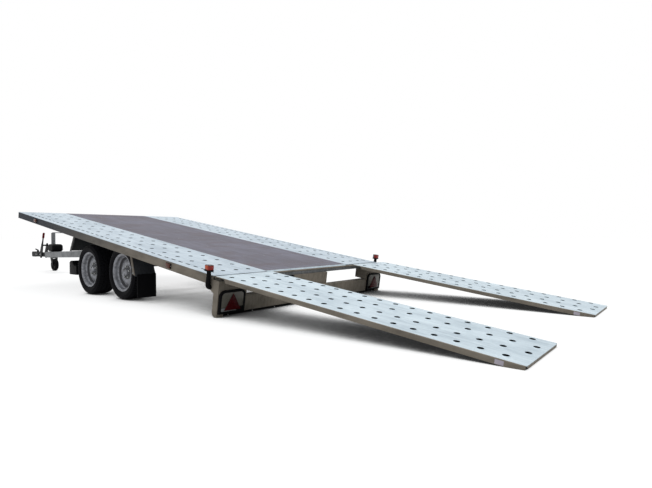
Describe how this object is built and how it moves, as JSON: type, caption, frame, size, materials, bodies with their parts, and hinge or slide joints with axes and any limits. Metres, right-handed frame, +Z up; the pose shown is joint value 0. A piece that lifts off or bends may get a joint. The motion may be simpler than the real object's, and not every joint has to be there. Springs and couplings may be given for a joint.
{
  "type": "tilting-bed car trailer with two loading ramps",
  "caption": "Car-carrying trailer with a low tilting deck, tandem axles inside the bed width, an overrun drawbar with a jockey wheel, and perforated ramps hooked behind the rear bar.",
  "frame": {"origin": "middle of the footprint, on the ground", "axes": "+Z up, +Y to the rear (ramps), -Y along the drawbar to the coupling, +X to the trailer's left side"},
  "size_m": [2.2954, 9.181, 0.9162],
  "materials": {
    "galvanised": "satin",
    "deck_board": "matte",
    "bright_steel": "satin",
    "silver_wheel": "satin",
    "tyre_rubber": "matte",
    "black_rubber": "matte",
    "guard_plastic": "matte",
    "black_parts": "satin",
    "red_lens": "gloss",
    "amber_lens": "gloss",
    "lamp_lens": "gloss"
  },
  "bodies": {
    "chassis": {"axle_front": "galvanised", "axle_rear": "galvanised", "brake_lever": "black_parts", "chassis_frame": "galvanised", "chock_holder": "galvanised", "coupling_head": "bright_steel", "drawbar_arm_left": "galvanised", "drawbar_arm_right": "galvanised", "drawbar_gaiter": "black_rubber", "drawbar_nose_plate": "galvanised", "hand_pump": "black_parts", "jockey_clamp": "galvanised", "jockey_tube": "galvanised", "overrun_housing": "galvanised", "wheel_chock": "black_parts"},
    "bed": {"bed_frame": "galvanised", "deck_board": "deck_board", "marker_lamp_left": "black_rubber", "marker_lamp_right": "black_rubber", "mudflap_left": "black_rubber", "mudflap_right": "black_rubber", "mudguard_left_front": "guard_plastic", "mudguard_left_rear": "guard_plastic", "mudguard_right_front": "guard_plastic", "mudguard_right_rear": "guard_plastic", "ramp_hook_rod": "galvanised", "rear_bumper": "galvanised", "runway_left": "galvanised", "runway_right": "galvanised", "side_marker_left_front": "amber_lens", "side_marker_left_rear": "amber_lens", "side_marker_right_front": "amber_lens", "side_marker_right_rear": "amber_lens", "side_rail_left": "galvanised", "side_rail_right": "galvanised", "tail_lamp_left": "lamp_lens", "tail_lamp_right": "lamp_lens", "triangle_reflector_left": "red_lens", "triangle_reflector_right": "red_lens"},
    "cylinder_barrel": {"cylinder_barrel": "black_parts"},
    "cylinder_rod": {"cylinder_rod": "bright_steel"},
    "jockey_leg": {"jockey_leg": "bright_steel"},
    "jockey_fork": {"jockey_fork": "galvanised"},
    "jockey_wheel": {"jockey_wheel": "tyre_rubber"},
    "ramp_left": {"ramp_tread_left": "galvanised", "ramp_ribs_left": "galvanised"},
    "wheel_left_front": {"tyre_left_front": "tyre_rubber", "wheel_left_front": "silver_wheel"},
    "wheel_left_rear": {"tyre_left_rear": "tyre_rubber", "wheel_left_rear": "silver_wheel"},
    "ramp_right": {"ramp_tread_right": "galvanised", "ramp_ribs_right": "galvanised"},
    "wheel_right_front": {"tyre_right_front": "tyre_rubber", "wheel_right_front": "silver_wheel"},
    "wheel_right_rear": {"tyre_right_rear": "tyre_rubber", "wheel_right_rear": "silver_wheel"}
  },
  "joints": [
    {"name": "bed_tilt", "type": "hinge", "parent": "chassis", "child": "bed", "pos_m": [0.01135, 0.08952, 0.5], "axis": [1, 0, 0], "range_deg": [0, 8.44]},
    {"name": "wheel_left_front_spin", "type": "hinge", "parent": "chassis", "child": "wheel_left_front", "pos_m": [0.90185, -0.06048, 0.2625], "axis": [1, 0, 0], "continuous": true},
    {"name": "wheel_left_rear_spin", "type": "hinge", "parent": "chassis", "child": "wheel_left_rear", "pos_m": [0.90185, 0.63952, 0.2625], "axis": [1, 0, 0], "continuous": true},
    {"name": "wheel_right_front_spin", "type": "hinge", "parent": "chassis", "child": "wheel_right_front", "pos_m": [-0.87915, -0.06048, 0.2625], "axis": [1, 0, 0], "continuous": true},
    {"name": "wheel_right_rear_spin", "type": "hinge", "parent": "chassis", "child": "wheel_right_rear", "pos_m": [-0.87915, 0.63952, 0.2625], "axis": [1, 0, 0], "continuous": true},
    {"name": "ramp_left_hinge", "type": "hinge", "parent": "bed", "child": "ramp_left", "pos_m": [0.78235, 2.22268, 0.30543], "axis": [1, 0, 0], "range_deg": [-16, 45]},
    {"name": "ramp_right_hinge", "type": "hinge", "parent": "bed", "child": "ramp_right", "pos_m": [-0.86765, 2.22268, 0.30543], "axis": [1, 0, 0], "range_deg": [-16, 45]},
    {"name": "cylinder_pivot", "type": "hinge", "parent": "chassis", "child": "cylinder_barrel", "pos_m": [0.01135, -1.07048, 0.3], "axis": [1, 0, 0], "range_deg": [0, 20.34]},
    {"name": "cylinder_rod_slide", "type": "slide", "parent": "cylinder_barrel", "child": "cylinder_rod", "axis": [0, -0.6294, 0.7771], "range_m": [-0.1349, 0]},
    {"name": "jockey_height", "type": "slide", "parent": "chassis", "child": "jockey_leg", "axis": [0, 0, 1], "range_m": [-0.15, 0.04]},
    {"name": "jockey_swivel", "type": "hinge", "parent": "jockey_leg", "child": "jockey_fork", "pos_m": [-0.11365, -4.11048, 0], "axis": [0, 0, 1], "continuous": true},
    {"name": "jockey_wheel_spin", "type": "hinge", "parent": "jockey_fork", "child": "jockey_wheel", "pos_m": [-0.11365, -4.06548, 0.105], "axis": [1, 0, 0], "continuous": true}
  ],
  "couplings": [
    {"joint": "cylinder_pivot", "follows": "bed_tilt", "ratio": 2.4036},
    {"joint": "cylinder_rod_slide", "follows": "bed_tilt", "m_per_rad": -0.91397}
  ]
}
